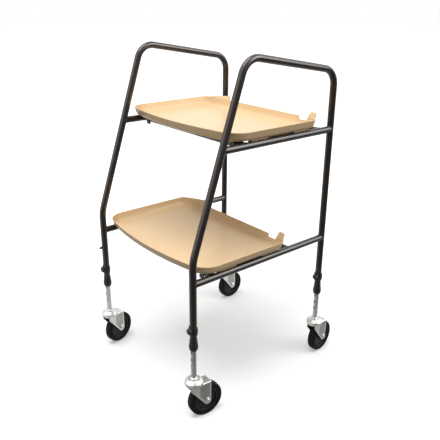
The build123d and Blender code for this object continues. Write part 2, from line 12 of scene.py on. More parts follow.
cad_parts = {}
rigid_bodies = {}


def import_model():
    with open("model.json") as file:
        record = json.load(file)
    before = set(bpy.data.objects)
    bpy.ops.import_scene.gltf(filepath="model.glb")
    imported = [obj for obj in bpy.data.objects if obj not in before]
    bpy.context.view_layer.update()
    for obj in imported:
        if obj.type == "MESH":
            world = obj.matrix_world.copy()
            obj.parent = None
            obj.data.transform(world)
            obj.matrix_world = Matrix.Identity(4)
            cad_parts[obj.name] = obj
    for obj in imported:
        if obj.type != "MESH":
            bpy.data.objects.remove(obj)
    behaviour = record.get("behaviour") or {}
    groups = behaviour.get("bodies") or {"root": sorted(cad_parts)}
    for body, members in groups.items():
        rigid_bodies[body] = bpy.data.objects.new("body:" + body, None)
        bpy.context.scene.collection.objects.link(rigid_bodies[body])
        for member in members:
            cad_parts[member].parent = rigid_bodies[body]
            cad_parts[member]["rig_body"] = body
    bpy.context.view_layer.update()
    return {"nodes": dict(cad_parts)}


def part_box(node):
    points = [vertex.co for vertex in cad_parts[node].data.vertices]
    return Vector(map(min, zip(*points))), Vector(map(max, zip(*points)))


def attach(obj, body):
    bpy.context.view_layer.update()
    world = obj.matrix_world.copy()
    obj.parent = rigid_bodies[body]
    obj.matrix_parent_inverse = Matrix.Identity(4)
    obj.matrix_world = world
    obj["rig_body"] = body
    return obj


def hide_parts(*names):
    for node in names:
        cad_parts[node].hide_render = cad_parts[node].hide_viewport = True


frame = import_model()
nodes = frame["nodes"]
CORNERS = ("front_left", "front_right", "rear_left", "rear_right")
SHELVES = ("upper", "lower")
SIDES = (("left", -1), ("right", 1))

# %% [markdown]
# The camera. The photograph was taken from the front right, a little above the handles and from close by, so
# the near uprights look larger than the far ones. A camera can be moved by hand until the picture looks right,
# but place, aim and lens then hide each other's faults. So all of them were fitted together to lines measured
# in the photograph. The lens and the film are the one thing given in millimetres, as on a real camera.

# %% Camera
CAMERA_PLACE = (1.21234, -1.00784, 1.07475)
CAMERA_TURN = radians(50.15)
CAMERA_TILT = radians(90 - 21.82)
CAMERA_ROLL = radians(0.5)
LENS = 45.93
FILM_WIDTH = 36
camera = bpy.data.objects.new("camera", bpy.data.cameras.new("camera"))
bpy.context.scene.collection.objects.link(camera)
camera.data.lens = LENS
camera.data.sensor_width = FILM_WIDTH
turn = Matrix.Rotation(CAMERA_TURN, 4, "Z") @ Matrix.Rotation(CAMERA_TILT, 4, "X")
camera.matrix_world = Matrix.Translation(CAMERA_PLACE) @ turn @ Matrix.Rotation(CAMERA_ROLL, 4, "Z")
bpy.context.scene.camera = camera
print("camera stands", round(Vector(CAMERA_PLACE).xy.length, 2), "m from the middle of the trolley")

# %% [markdown]
# Patterns. Nothing that is painted, moulded or plated is perfectly even, so every finish below is broken by a
# soft noise. A picture could be laid on the surface instead, but it would need seams and a fixed size. Noise
# on Object coordinates runs through the whole piece without a seam, and its scale is in patches per metre.

# %% Noise
def noise(tree, scale, detail, stretch=(1, 1, 1)):
    """A noise pattern on Object coordinates, in patches of about 1 / scale metres."""
    place = tree.nodes.new("ShaderNodeTexCoord")
    mapping = tree.nodes.new("ShaderNodeMapping")
    mapping.inputs["Scale"].default_value = stretch
    pattern = tree.nodes.new("ShaderNodeTexNoise")
    pattern.inputs["Scale"].default_value = scale
    pattern.inputs["Detail"].default_value = detail
    tree.links.new(place.outputs["Object"], mapping.inputs["Vector"])
    tree.links.new(mapping.outputs["Vector"], pattern.inputs["Vector"])
    return pattern.outputs["Fac"]


print("patterns lie on Object coordinates")

# %% [markdown]
# A pattern steers either a number, such as how dull the surface is, or a colour. Most of a noise lies near
# its middle, so a range that took in all of it would hardly vary. Both helpers spread only the middle part.

# %% What a pattern steers
PATTERN_LOW = 0.35
PATTERN_HIGH = 0.65


def spread(tree, source, low, high, low_in=PATTERN_LOW, high_in=PATTERN_HIGH):
    """Carries a pattern onto a range of values."""
    step = tree.nodes.new("ShaderNodeMapRange")
    step.inputs["From Min"].default_value = low_in
    step.inputs["From Max"].default_value = high_in
    step.inputs["To Min"].default_value = low
    step.inputs["To Max"].default_value = high
    tree.links.new(source, step.inputs["Value"])
    return step.outputs["Result"]


def two_tone(tree, source, dark, light, low_in=PATTERN_LOW, high_in=PATTERN_HIGH):
    """Carries a pattern onto two colours."""
    ramp = tree.nodes.new("ShaderNodeValToRGB")
    ramp.color_ramp.elements[0].position = low_in
    ramp.color_ramp.elements[0].color = (*dark, 1)
    ramp.color_ramp.elements[1].position = high_in
    ramp.color_ramp.elements[1].color = (*light, 1)
    tree.links.new(source, ramp.inputs["Fac"])
    return ramp.outputs["Color"]


print("patterns are spread from", PATTERN_LOW, "to", PATTERN_HIGH)

# %% [markdown]
# The recipe of a finish. Each one could be wired by hand in the shader editor, but all ten share a plan, so
# one function builds it: a colour that drifts between two tones in patches, and a roughness that wanders
# between two values where the surface is rubbed. What a finish has beyond that is added after it.

# %% Finish recipe
def new_finish(name, tones, patches, dullness, rubbing, metallic=0.0, specular=0.5):
    """A material whose colour and roughness each follow a noise.

    tones is the darker and the lighter colour, dullness is the least and the most roughness,
    and patches and rubbing are the scale and detail, and the stretch if any, of the two noises.
    """
    finish = bpy.data.materials.new(name)
    finish.use_nodes = True
    tree = finish.node_tree
    shader = tree.nodes["Principled BSDF"]
    shader.inputs["Metallic"].default_value = metallic
    shader.inputs["Specular IOR Level"].default_value = specular
    tree.links.new(two_tone(tree, noise(tree, *patches), *tones), shader.inputs["Base Color"])
    tree.links.new(spread(tree, noise(tree, *rubbing), *dullness), shader.inputs["Roughness"])
    print(name, "in patches of about", round(1000 / patches[0]), "mm, roughness", *dullness)
    return finish


# %% [markdown]
# The tube is stoved in a dark bronze paint: brown rather than black where the light falls on it. Paint could
# be one layer with a low roughness, but stoved paint shines twice, softly from the pigment and more sharply
# from the skin over it. The coat gives that second shine, which runs along the tubes as a thin line.

# %% Bronze frame paint
bronze_paint = new_finish(
    "bronze_paint",
    tones=((0.034, 0.0255, 0.0205), (0.041, 0.031, 0.025)),
    patches=(14, 4),
    dullness=(0.24, 0.3),
    rubbing=(30, 2),
)
shader = bronze_paint.node_tree.nodes["Principled BSDF"]
shader.inputs["Coat Weight"].default_value = 0.25
shader.inputs["Coat Roughness"].default_value = 0.16

# %% [markdown]
# The trays are moulded in a warm beige plastic with a smooth, slightly glossy skin. Fine noise would make
# them look sandy, so both noises are as wide as a hand: the colour drifts a little across the pan, and the
# gloss is a shade duller in places. The specular level is low, so that the pan keeps its warm colour.

# %% Tray plastic
tray_plastic = new_finish(
    "tray_plastic",
    tones=((0.83, 0.597, 0.342), (0.85, 0.62, 0.365)),
    patches=(6, 3),
    dullness=(0.21, 0.27),
    rubbing=(5, 1),
    specular=0.22,
)

# %% [markdown]
# Ferrules, clips and wheels are black. Nylon mouldings have a fine grain from the mould's sparked surface, and
# a dull shine. The grain could be modelled, but it is far finer than any mesh, so a noise tilts the shading
# instead. Black that is truly black looks like a hole in the picture, so each tone keeps a little grey.

# %% Black plastic and wheel plastic
GRAIN_DEPTH = 0.0002


def add_relief(finish, grain, strength, depth):
    """Adds a bump of a strength, and a depth in metres, on the noise whose scale and detail grain gives."""
    tree = finish.node_tree
    bump = tree.nodes.new("ShaderNodeBump")
    bump.inputs["Strength"].default_value = strength
    bump.inputs["Distance"].default_value = depth
    tree.links.new(noise(tree, *grain), bump.inputs["Height"])
    tree.links.new(bump.outputs["Normal"], tree.nodes["Principled BSDF"].inputs["Normal"])


black_plastic = new_finish(
    "black_plastic",
    tones=((0.012, 0.011, 0.011), (0.02, 0.019, 0.018)),
    patches=(60, 3),
    dullness=(0.38, 0.52),
    rubbing=(300, 3),
)
add_relief(black_plastic, grain=(2500, 2), strength=0.15, depth=GRAIN_DEPTH)
wheel_plastic = new_finish(
    "wheel_plastic",
    tones=((0.011, 0.01, 0.0095), (0.019, 0.0165, 0.0155)),
    patches=(50, 3),
    dullness=(0.42, 0.58),
    rubbing=(260, 3),
    specular=0.3,
)
add_relief(wheel_plastic, grain=(2200, 2), strength=0.15, depth=GRAIN_DEPTH)

# %% [markdown]
# The tyres are duller still. Rubber scatters most of what it reflects, so the specular level is low and the
# roughness high, and the tones are a little brown, as dust rubbed into a tread makes them.

# %% Tyre rubber
tyre_rubber = new_finish(
    "tyre_rubber",
    tones=((0.008, 0.0065, 0.006), (0.015, 0.0122, 0.0112)),
    patches=(70, 4),
    dullness=(0.52, 0.72),
    rubbing=(220, 3),
    specular=0.14,
)
add_relief(tyre_rubber, grain=(1800, 3), strength=0.25, depth=GRAIN_DEPTH)

# %% [markdown]
# The legs are chromed and mirror the room, so they get the lowest roughness of all. A metal has no colour
# below its shine: its two tones are how much it reflects. The castor caps are plated too, but satin: they
# are domes, and with the gloss of the legs each would carry a hard white spot.

# %% Chrome and castor caps
chrome = new_finish(
    "chrome",
    tones=((0.56, 0.56, 0.55), (0.62, 0.62, 0.61)),
    patches=(40, 3),
    dullness=(0.08, 0.14),
    rubbing=(40, 3),
    metallic=1.0,
)
cap_plate = new_finish(
    "cap_plate",
    tones=((0.68, 0.68, 0.66), (0.76, 0.76, 0.74)),
    patches=(50, 3),
    dullness=(0.42, 0.5),
    rubbing=(110, 3),
    metallic=1.0,
)

# %% [markdown]
# The forks are pressed from zinc plated sheet, which is cloudy and a little yellow beside chrome. The rear of
# each cheek's panel takes a darker zinc: painted shade, standing for the dark reflection in the pressed panel.

# %% Zinc of the forks, and their painted shade
zinc_plate = new_finish(
    "zinc_plate",
    tones=((0.68, 0.67, 0.65), (0.76, 0.75, 0.73)),
    patches=(60, 4),
    dullness=(0.32, 0.42),
    rubbing=(120, 3),
    metallic=1.0,
)
# painted shade: this darker zinc on the fork panels stands for their dark reflection
painted_shade_zinc = new_finish(
    "painted_shade_zinc",
    tones=((0.36, 0.35, 0.335), (0.44, 0.43, 0.41)),
    patches=(80, 4),
    dullness=(0.28, 0.38),
    rubbing=(140, 3),
    metallic=1.0,
)

# %% [markdown]
# Bolts, nuts, pins and screws are turned or rolled from bar and thinly plated. The marks that this leaves
# are narrow lines, so the rubbing is squeezed along one axis, and a slight relief breaks up the shine.

# %% Plated steel
TURNING_MARKS = (1, 1, 6)
MARK_DEPTH = 0.0001
plated_steel = new_finish(
    "plated_steel",
    tones=((0.54, 0.53, 0.52), (0.72, 0.71, 0.7)),
    patches=(120, 3),
    dullness=(0.22, 0.4),
    rubbing=(400, 3, TURNING_MARKS),
    metallic=1.0,
)
add_relief(plated_steel, grain=(2600, 2), strength=0.1, depth=MARK_DEPTH)

# %% [markdown]
# Selecting. Operators act on all that is selected, and the CAD nodes come in selected, so every operation
# starts by selecting one object and nothing else. Modifiers are applied at once, in order, so that what is
# shown is plain mesh with its place in its points.

# %% Select and apply
def select_only(obj):
    """Deselects everything, then selects and activates one object."""
    bpy.ops.object.select_all(action="DESELECT")
    obj.select_set(True)
    bpy.context.view_layer.objects.active = obj


def apply_all(obj):
    """Applies every modifier of an object, in order."""
    select_only(obj)
    for modifier in list(obj.modifiers):
        bpy.ops.object.modifier_apply(modifier=modifier.name)


print("objects that came in selected:", len(bpy.context.selected_objects))

# %% [markdown]
# Dressing a CAD node. It comes in as loose triangles with hard facets, and light would show every facet. It
# could be modelled again from nothing, but its form is right already. So the piece that shows in its place
# is a copy: its points are merged, its round faces are shaded smooth, and its sharp edges are broken by a
# small bevel where one is asked for, because no pressed, cut or moulded edge is perfectly sharp.

# %% Dress a CAD node
SAME_POINT = 0.000002
CREASE = radians(32)
EDGE_SEGMENTS = 2
FACE_WEIGHT = 60


def merged_copy(node, name):
    """A copy of a CAD node's mesh with its loose triangles joined."""
    source = nodes[node]
    piece = bpy.data.objects.new(name, source.data.copy())
    bpy.context.scene.collection.objects.link(piece)
    select_only(piece)
    bpy.ops.object.mode_set(mode="EDIT")
    bpy.ops.mesh.select_all(action="SELECT")
    bpy.ops.mesh.remove_doubles(threshold=SAME_POINT)
    bpy.ops.mesh.customdata_custom_splitnormals_clear()
    bpy.ops.object.mode_set(mode="OBJECT")
    return piece


def dress(node, finish, edge=0.0):
    """The shown piece of a CAD node: merged, smooth, edges broken by the bevel width given."""
    piece = merged_copy(node, node + "_skin")
    if edge:
        bevel = piece.modifiers.new("broken edge", "BEVEL")
        bevel.width = edge
        bevel.segments = EDGE_SEGMENTS
        bevel.limit_method = "ANGLE"
        bevel.angle_limit = CREASE
        bevel.harden_normals = False
    select_only(piece)
    bpy.ops.object.shade_smooth_by_angle(angle=CREASE)
    even = piece.modifiers.new("even shading", "WEIGHTED_NORMAL")
    even.keep_sharp = True
    even.weight = FACE_WEIGHT
    apply_all(piece)
    piece.data.materials.clear()
    piece.data.materials.append(finish)
    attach(piece, nodes[node]["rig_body"])
    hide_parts(node)
    return piece


print("edges sharper than", round(degrees(CREASE)), "degrees stay creases")

# %% [markdown]
# The side frames are each one steel tube, bent three times on a pipe bender: at the knee, and at both ends of
# the handle. The line that the tube follows is a few heights and reaches, with the feet, the sides and the
# front and rear read from the CAD frame.

# %% Side frame measures
TUBE_R = 0.0095
TUBE_WALL = 0.0012
tube_low, tube_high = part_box("right_side_frame")
SIDE_X = (tube_low.x + tube_high.x) / 2
FRONT_Y = tube_low.y + TUBE_R
REAR_Y = tube_high.y - TUBE_R
TUBE_FOOT = tube_low.z
KNEE_HEIGHT = 0.467
HANDLE_SETBACK = 0.162
HANDLE_FRONT_HEIGHT = 0.946
HANDLE_REAR_HEIGHT = 0.892
KNEE = (FRONT_Y, KNEE_HEIGHT)
HANDLE_FRONT = (FRONT_Y + HANDLE_SETBACK, HANDLE_FRONT_HEIGHT)
HANDLE_REAR = (REAR_Y, HANDLE_REAR_HEIGHT)
FRAME_LINE = [(FRONT_Y, TUBE_FOOT), KNEE, HANDLE_FRONT, HANDLE_REAR, (REAR_Y, TUBE_FOOT)]
BEND_RADII = [0.130, 0.048, 0.048]
print("side frames at x", round(SIDE_X, 4), "from y", round(FRONT_Y, 4), "to", round(REAR_Y, 4))

# %% [markdown]
# Both feet of a side frame have a hole from front to back, for the pin of a snap clip. A hole could be left
# out, as the pin covers most of it, but when the clip is pulled it shows. It is drilled as in the workshop:
# a bit the size of the hole goes through, and what it takes away is the hole.

# %% Drill
PIN_HEIGHT = 0.277
PIN_HOLE_R = 0.0033
DRILL_LENGTH = 3 * TUBE_R
DRILL_SIDES = 28


def drill(obj, place, radius):
    """Drills a hole from front to back through a tube."""
    bpy.ops.object.select_all(action="DESELECT")
    bpy.ops.mesh.primitive_cylinder_add(
        vertices=DRILL_SIDES, radius=radius, depth=DRILL_LENGTH, location=place, rotation=(pi / 2, 0, 0)
    )
    bit = bpy.context.object
    cut = obj.modifiers.new("hole", "BOOLEAN")
    cut.operation = "DIFFERENCE"
    cut.solver = "EXACT"
    cut.object = bit
    apply_all(obj)
    bpy.data.objects.remove(bit)


print("pin holes", round(2000 * PIN_HOLE_R, 1), "mm wide, at a height of", PIN_HEIGHT)

# %% [markdown]
# Bending the tube. A curve with a round bevel would give the same line, but its wall and holes would still
# have to be cut. Here it is drawn as it is made: a ring at the foot, pushed up in a straight run, spun round
# the centre of each bend, and pushed on along the next run. Solidify then gives the wall inwards, so that
# the outside keeps its size.

# %% Bent tubes
RING_SIDES = 40
BEND_STEP = radians(5)
FEWEST_STEPS = 4
MERGE = 0.00001
ROUND_ANGLE = radians(40)


def bent_tube(name, x):
    """A tube ring swept along the frame's line by extrude and spin."""
    points = [Vector((x, y, z)) for y, z in FRAME_LINE]
    bpy.ops.object.select_all(action="DESELECT")
    bpy.ops.mesh.primitive_circle_add(vertices=RING_SIDES, radius=TUBE_R, location=points[0])
    tube = bpy.context.object
    tube.name = name
    bpy.ops.object.transform_apply(location=True, rotation=True, scale=True)
    bpy.ops.object.mode_set(mode="EDIT")
    bpy.ops.mesh.select_all(action="SELECT")
    here = points[0]
    for before, corner, after, bend in zip(points, points[1:], points[2:], BEND_RADII):
        into = (corner - before).normalized()
        out = (after - corner).normalized()
        angle = into.angle(out)
        reach = bend * tan(angle / 2)
        start = corner - into * reach
        bpy.ops.mesh.extrude_region_move(TRANSFORM_OT_translate={"value": start - here})
        axis = into.cross(out).normalized()
        centre = start + axis.cross(into) * bend
        steps = max(FEWEST_STEPS, round(angle / BEND_STEP))
        bpy.ops.mesh.spin(steps=steps, angle=-angle, center=centre, axis=axis)
        here = corner + out * reach
    bpy.ops.mesh.extrude_region_move(TRANSFORM_OT_translate={"value": points[-1] - here})
    bpy.ops.mesh.select_all(action="SELECT")
    bpy.ops.mesh.remove_doubles(threshold=MERGE)
    bpy.ops.mesh.normals_make_consistent(inside=False)
    bpy.ops.object.mode_set(mode="OBJECT")
    wall = tube.modifiers.new("wall", "SOLIDIFY")
    wall.thickness = TUBE_WALL
    wall.offset = -1
    apply_all(tube)
    for foot_y in (FRONT_Y, REAR_Y):
        drill(tube, (x, foot_y, PIN_HEIGHT), PIN_HOLE_R)
    select_only(tube)
    bpy.ops.object.shade_smooth_by_angle(angle=ROUND_ANGLE)
    return tube


for side, hand in SIDES:
    tube = bent_tube(f"{side}_bent_tube", hand * SIDE_X)
    tube.data.materials.append(bronze_paint)
    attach(tube, "frame")
    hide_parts(f"{side}_side_frame")

# %% [markdown]
# Rails and bars are straight lengths of tube, with ends coped to sit on the tube that they meet. A cope is a
# cut by a cylinder, which the CAD model has already, so these only want smoothing and paint.

# %% Rails and bars
for shelf in SHELVES:
    for place in ("left_rail", "right_rail", "front_bar", "rear_bar"):
        piece = dress(f"{shelf}_{place}", bronze_paint)
        print(piece.name, len(piece.data.vertices), "points")

# %% [markdown]
# Each rail is welded to its uprights, and each bar to its rails. The bead follows the line where one round
# tube meets another of the same size, so it dips on two sides like a saddle. A plain ring would float off
# the tube at those dips. So the line is worked out point by point and drawn as a closed curve, with a thin
# round section that swells and shrinks a little, the way a run of weld pools does.

# %% Draw a weld bead
BEAD_R = 0.0012
BEAD_POOLS = 17
BEAD_POINTS = 102
POOL_SWELL = 0.16
SECTION_STEPS = 3


def bead(name, place, along, across):
    """A weld round a tube that leaves the point `place` along `along`, on a tube that runs along `across`."""
    along, across = along.normalized(), across.normalized()
    first = along.orthogonal().normalized()
    second = along.cross(first)
    run = along - across * along.dot(across)
    curve = bpy.data.curves.new(name, "CURVE")
    curve.dimensions = "3D"
    curve.bevel_depth = BEAD_R
    curve.bevel_resolution = SECTION_STEPS
    seam = curve.splines.new("POLY")
    seam.points.add(BEAD_POINTS - 1)
    seam.use_cyclic_u = True
    for i, point in enumerate(seam.points):
        turn = 2 * pi * i / BEAD_POINTS
        spoke = (first * cos(turn) + second * sin(turn)) * TUBE_R
        flat = spoke - across * spoke.dot(across)
        reach = flat.dot(run)
        root = max(0.0, reach ** 2 - run.length_squared * (flat.length_squared - TUBE_R ** 2))
        seat = place + spoke + along * (sqrt(root) - reach) / run.length_squared
        point.co = (*seat, 1)
        point.radius = 1 + POOL_SWELL * sin(BEAD_POOLS * turn)
    line = bpy.data.objects.new(name, curve)
    bpy.context.scene.collection.objects.link(line)
    select_only(line)
    bpy.ops.object.convert(target="MESH")
    line = bpy.context.object
    bpy.ops.object.shade_smooth()
    line.data.materials.clear()
    line.data.materials.append(bronze_paint)
    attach(line, "frame")
    return line


print("a bead is", round(2000 * BEAD_R, 1), "mm thick, with", BEAD_POOLS, "pools")

# %% [markdown]
# Where the seams are follows from the CAD boxes: a rail lies at the middle of its own box, and a bar leaves
# the rail at the middle of the bar's. Above the knee the front upright leans, so the upper rails meet it
# further back and at a slant. Reading the places keeps each bead on its joint if the model changes.

# %% Weld beads
UP = Vector((0, 0, 1))
BACK = Vector((0, 1, 0))
lean = Vector((0, HANDLE_FRONT[0] - KNEE[0], HANDLE_FRONT[1] - KNEE[1]))
beads = []
for shelf in SHELVES:
    for side, hand in SIDES:
        x = hand * SIDE_X
        rail_low, rail_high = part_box(f"{shelf}_{side}_rail")
        height = (rail_low.z + rail_high.z) / 2
        on_lean = height > KNEE_HEIGHT
        front_y = KNEE[0] + (height - KNEE[1]) * lean.y / lean.z if on_lean else FRONT_Y
        front_tube = lean if on_lean else UP
        beads.append(bead(f"{shelf}_{side}_front_bead", Vector((x, front_y, height)), BACK, front_tube))
        beads.append(bead(f"{shelf}_{side}_rear_bead", Vector((x, REAR_Y, height)), -BACK, UP))
        for place in ("front", "rear"):
            bar_low, bar_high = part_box(f"{shelf}_{place}_bar")
            seat = Vector((x, (bar_low.y + bar_high.y) / 2, height))
            beads.append(bead(f"{shelf}_{side}_{place}_bar_bead", seat, Vector((-hand, 0, 0)), BACK))
print("weld beads:", len(beads))

# %% [markdown]
# Each tray is one moulding: a pan with a bowed front, a lip that leans back, a horn and a notch. Its edges
# are already round in the CAD model, so its skin is only smoothed. The clips under it are moulded too and
# the screws are rolled. Both get a hair of a bevel, which is what catches the light on so small a piece.

# %% Trays and their clips
CLIP_EDGE = 0.0004
SCREW_EDGE = 0.0003
for shelf in SHELVES:
    pan = dress(f"{shelf}_tray", tray_plastic)
    dress(f"{shelf}_tray_clips", black_plastic, edge=CLIP_EDGE)
    dress(f"{shelf}_tray_screws", plated_steel, edge=SCREW_EDGE)
    print(pan.name, len(pan.data.polygons), "faces")

# %% [markdown]
# What repeats is modelled once and copied. A copy that shares its mesh would be lighter, but then its place
# could not be in its mesh. So each copy gets a mesh of its own and is moved, and then the move is applied.
# The pieces of the legs are made at the first corner and copied to the other three.

# %% Copies
def own_copy(piece, name, shift):
    """A copy of a finished piece with its own mesh, moved by a shift."""
    twin = piece.copy()
    twin.data = piece.data.copy()
    twin.name = name
    bpy.context.scene.collection.objects.link(twin)
    twin.location = shift
    select_only(twin)
    bpy.ops.object.transform_apply(location=True, rotation=True, scale=True)
    return twin


leg_centre = {}
for corner in CORNERS:
    leg_low, leg_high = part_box(f"{corner}_leg")
    leg_centre[corner] = Vector(((leg_low.x + leg_high.x) / 2, (leg_low.y + leg_high.y) / 2, 0))
    print(corner, "leg stands at", [round(v, 4) for v in leg_centre[corner].xy])


def at_every_corner(piece, kind):
    """The first corner's piece and its copies at the other corners, by corner."""
    piece.name = f"{CORNERS[0]}_{kind}"
    pieces = {CORNERS[0]: piece}
    for corner in CORNERS[1:]:
        pieces[corner] = own_copy(piece, f"{corner}_{kind}", leg_centre[corner] - leg_centre[CORNERS[0]])
    return pieces


# %% [markdown]
# Between its feet each side of a tray has a rib under it, just inside the rail, that stiffens the floor and
# keeps the tray from sliding sideways. A rib is a plain bar with soft edges, so it starts as a cube, is
# drawn out along the rail and is rounded on every edge by a bevel.

# %% Tray ribs
RIB_WALL = 0.003
RIB_DROP = 0.011
RIB_SPAN = (0.143, 0.241)
RIB_EDGE = RIB_WALL / 5
RAIL_CLEARANCE = 0.0006
EDGE_ROUNDS = 3


def soft_bar(middle, size, edge):
    """A bar with all its edges rounded, drawn out from a cube."""
    bpy.ops.object.select_all(action="DESELECT")
    bpy.ops.mesh.primitive_cube_add(size=1, location=middle)
    bar = bpy.context.object
    bar.scale = size
    bpy.ops.object.transform_apply(location=True, rotation=True, scale=True)
    bpy.ops.object.mode_set(mode="EDIT")
    bpy.ops.mesh.select_all(action="SELECT")
    bpy.ops.mesh.bevel(offset=edge, segments=EDGE_ROUNDS)
    bpy.ops.object.mode_set(mode="OBJECT")
    return bar


rib_places = []
for shelf in SHELVES:
    tray_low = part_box(f"{shelf}_tray")[0]
    rail_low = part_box(f"{shelf}_right_rail")[0]
    rib_x = rail_low.x - RAIL_CLEARANCE - RIB_WALL / 2
    for side, hand in SIDES:
        middle = Vector((hand * rib_x, tray_low.y + sum(RIB_SPAN) / 2, tray_low.z + RIB_DROP / 2))
        rib_places.append((shelf, side, middle))
first_place = rib_places[0][2]
rib = soft_bar(first_place, (RIB_WALL, RIB_SPAN[1] - RIB_SPAN[0], RIB_DROP), RIB_EDGE)
bpy.ops.object.shade_smooth_by_angle(angle=ROUND_ANGLE)
rib.data.materials.append(tray_plastic)
ribs = [rib] + [own_copy(rib, "rib", middle - first_place) for shelf, side, middle in rib_places[1:]]
for piece, (shelf, side, middle) in zip(ribs, rib_places):
    piece.name = f"{shelf}_{side}_tray_rib"
    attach(piece, f"{shelf}_tray")
    print(piece.name, "at", [round(v, 4) for v in middle])

# %% [markdown]
# Each fork has a shallow pressed panel in each cheek, whose rear part takes the darker zinc as painted shade,
# for the dark reflection in the panel. A second piece laid over the cheek would stand proud of it, so the
# cheek itself is cut along that edge, straight up from in front of the axle, and the faces behind the cut
# take the painted shade. They are found by their depth along the axle and by facing along it, because a
# castor may stand at any angle.

# %% Fork panels with painted shade
PANEL_DEPTHS = (0.0150, 0.0162)
PANEL_EDGE = 0.024
FACING_ALONG = 0.95
PAINTED_SHADE_SLOT = 1


def paint_panel_shade(fork, corner):
    """Gives the rear part of a fork's two panels the darker zinc, which is painted shade."""
    head_low, head_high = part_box(f"{corner}_castor_head")
    tyre_low, tyre_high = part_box(f"{corner}_tyre")
    axle = (tyre_low + tyre_high) / 2
    reach = axle - (head_low + head_high) / 2
    trail = Vector((reach.x, reach.y, 0)).normalized()
    across = Vector((trail.y, -trail.x, 0))
    fork.data.materials.append(painted_shade_zinc)
    select_only(fork)
    bpy.ops.object.mode_set(mode="EDIT")
    bpy.ops.mesh.select_all(action="SELECT")
    bpy.ops.mesh.bisect(plane_co=axle - trail * PANEL_EDGE, plane_no=trail)
    bpy.ops.object.mode_set(mode="OBJECT")
    count = 0
    # the rear panel faces take the darker zinc, a painted shade for the panel's dark reflection
    for face in fork.data.polygons:
        place = face.center - axle
        in_panel = PANEL_DEPTHS[0] < abs(place.dot(across)) < PANEL_DEPTHS[1]
        flat = abs(face.normal.dot(across)) > FACING_ALONG
        if in_panel and flat and place.dot(trail) > -PANEL_EDGE:
            face.material_index = PAINTED_SHADE_SLOT
            count += 1
    print(fork.name, "panel faces:", count)


# %% [markdown]
# The leg sets are alike at every corner: a ferrule closes the frame tube, a chromed leg slides in it, a snap
# clip holds it by a pin, and a castor turns on its foot. One loop dresses them all, so no corner is treated
# apart. Forks, nuts and hubs show their edges, so those are broken. The rest is round, or rounded already.
# The one stud, on the front left upright, comes last.

# %% Leg sets
FORK_EDGE = 0.0004
NUT_EDGE = 0.0003
HUB_EDGE = 0.0005
for corner in CORNERS:
    dress(f"{corner}_ferrule", black_plastic)
    dress(f"{corner}_clip", black_plastic)
    dress(f"{corner}_clip_pin", plated_steel)
    dress(f"{corner}_leg", chrome)
    dress(f"{corner}_castor_head", cap_plate)
    fork = dress(f"{corner}_fork", zinc_plate, edge=FORK_EDGE)
    paint_panel_shade(fork, corner)
    dress(f"{corner}_axle_bolt", plated_steel)
    dress(f"{corner}_axle_nut", plated_steel, edge=NUT_EDGE)
    dress(f"{corner}_tyre", tyre_rubber)
    dress(f"{corner}_hub", wheel_plastic, edge=HUB_EDGE)
stud = dress("front_left_stud", black_plastic)
print(stud.name, len(stud.data.polygons), "faces")

# %% [markdown]
# Three round forms that a lathe or a round mould makes: a swell low on each ferrule, a ring at the foot of
# each leg, and the back half of each clip's collar, which stays on the tube when the clip is pulled. To cut
# them from a cylinder would take many cuts. A turned form is its profile spun round its axis, so a few
# points of radius and height are enough, chosen as a turner's template is drawn.

# %% Turned profiles
SWELL = (
    (0.0098, 0.2175),
    (0.0112, 0.2200),
    (0.0120, 0.2245),
    (0.0123, 0.2290),
    (0.0120, 0.2335),
    (0.0112, 0.2385),
    (0.0098, 0.2420),
)
FOOT_RING = (
    (0.0070, 0.1278),
    (0.0098, 0.1278),
    (0.0104, 0.1286),
    (0.0104, 0.1302),
    (0.0098, 0.1310),
    (0.0070, 0.1318),
)
COLLAR_BACK = (
    (0.00955, 0.2652),
    (0.0113, 0.2652),
    (0.0122, 0.2690),
    (0.0127, 0.2770),
    (0.0122, 0.2850),
    (0.0113, 0.2888),
    (0.00955, 0.2888),
)
print("points in the profiles:", len(SWELL), len(FOOT_RING), len(COLLAR_BACK))

# %% [markdown]
# Spinning a profile. The pen is a single point: a small plane, merged to its centre. Extruding that point
# from place to place draws the profile, and the last step closes it. A whole turn makes a ring whose ends
# meet and are merged. Part of a turn needs its ends closed, so there the profile is filled before it is spun.

# %% Spin a profile
SPIN_STEPS = 48
PEN_SIZE = 0.001
WHOLE_TURN = 2 * pi
TURNED_ANGLE = radians(45)


def turned(profile, start=0.0, end=WHOLE_TURN):
    """A closed profile of radius and height, drawn point by point and spun round the first corner's leg."""
    centre = leg_centre[CORNERS[0]]
    flat = [centre + Vector((radius * cos(start), radius * sin(start), height)) for radius, height in profile]
    bpy.ops.object.select_all(action="DESELECT")
    bpy.ops.mesh.primitive_plane_add(size=PEN_SIZE, location=flat[0])
    piece = bpy.context.object
    bpy.ops.object.transform_apply(location=True, rotation=True, scale=True)
    bpy.ops.object.mode_set(mode="EDIT")
    bpy.ops.mesh.select_all(action="SELECT")
    bpy.ops.mesh.merge(type="CENTER")
    for here, there in zip(flat, flat[1:] + flat[:1]):
        bpy.ops.mesh.extrude_region_move(TRANSFORM_OT_translate={"value": there - here})
    bpy.ops.mesh.select_all(action="SELECT")
    bpy.ops.mesh.remove_doubles(threshold=MERGE)
    whole = end - start == WHOLE_TURN
    if not whole:
        bpy.ops.mesh.edge_face_add()
    steps = SPIN_STEPS if whole else SPIN_STEPS // 2
    bpy.ops.mesh.spin(steps=steps, angle=end - start, center=centre, axis=UP)
    bpy.ops.mesh.select_all(action="SELECT")
    bpy.ops.mesh.remove_doubles(threshold=MERGE)
    bpy.ops.mesh.normals_make_consistent(inside=False)
    bpy.ops.object.mode_set(mode="OBJECT")
    bpy.ops.object.shade_smooth_by_angle(angle=TURNED_ANGLE)
    print("turned", len(piece.data.vertices), "points over", round(degrees(end - start)), "degrees")
    return piece


# %% [markdown]
# The swell is moulded in one with the ferrule, and the collar's back is seen behind the clip, so both stay
# with the frame. It reaches round the rear of the tube only, clear of the clip that slides off to the front.
# The ring is part of the leg and goes with it when the leg is drawn out.

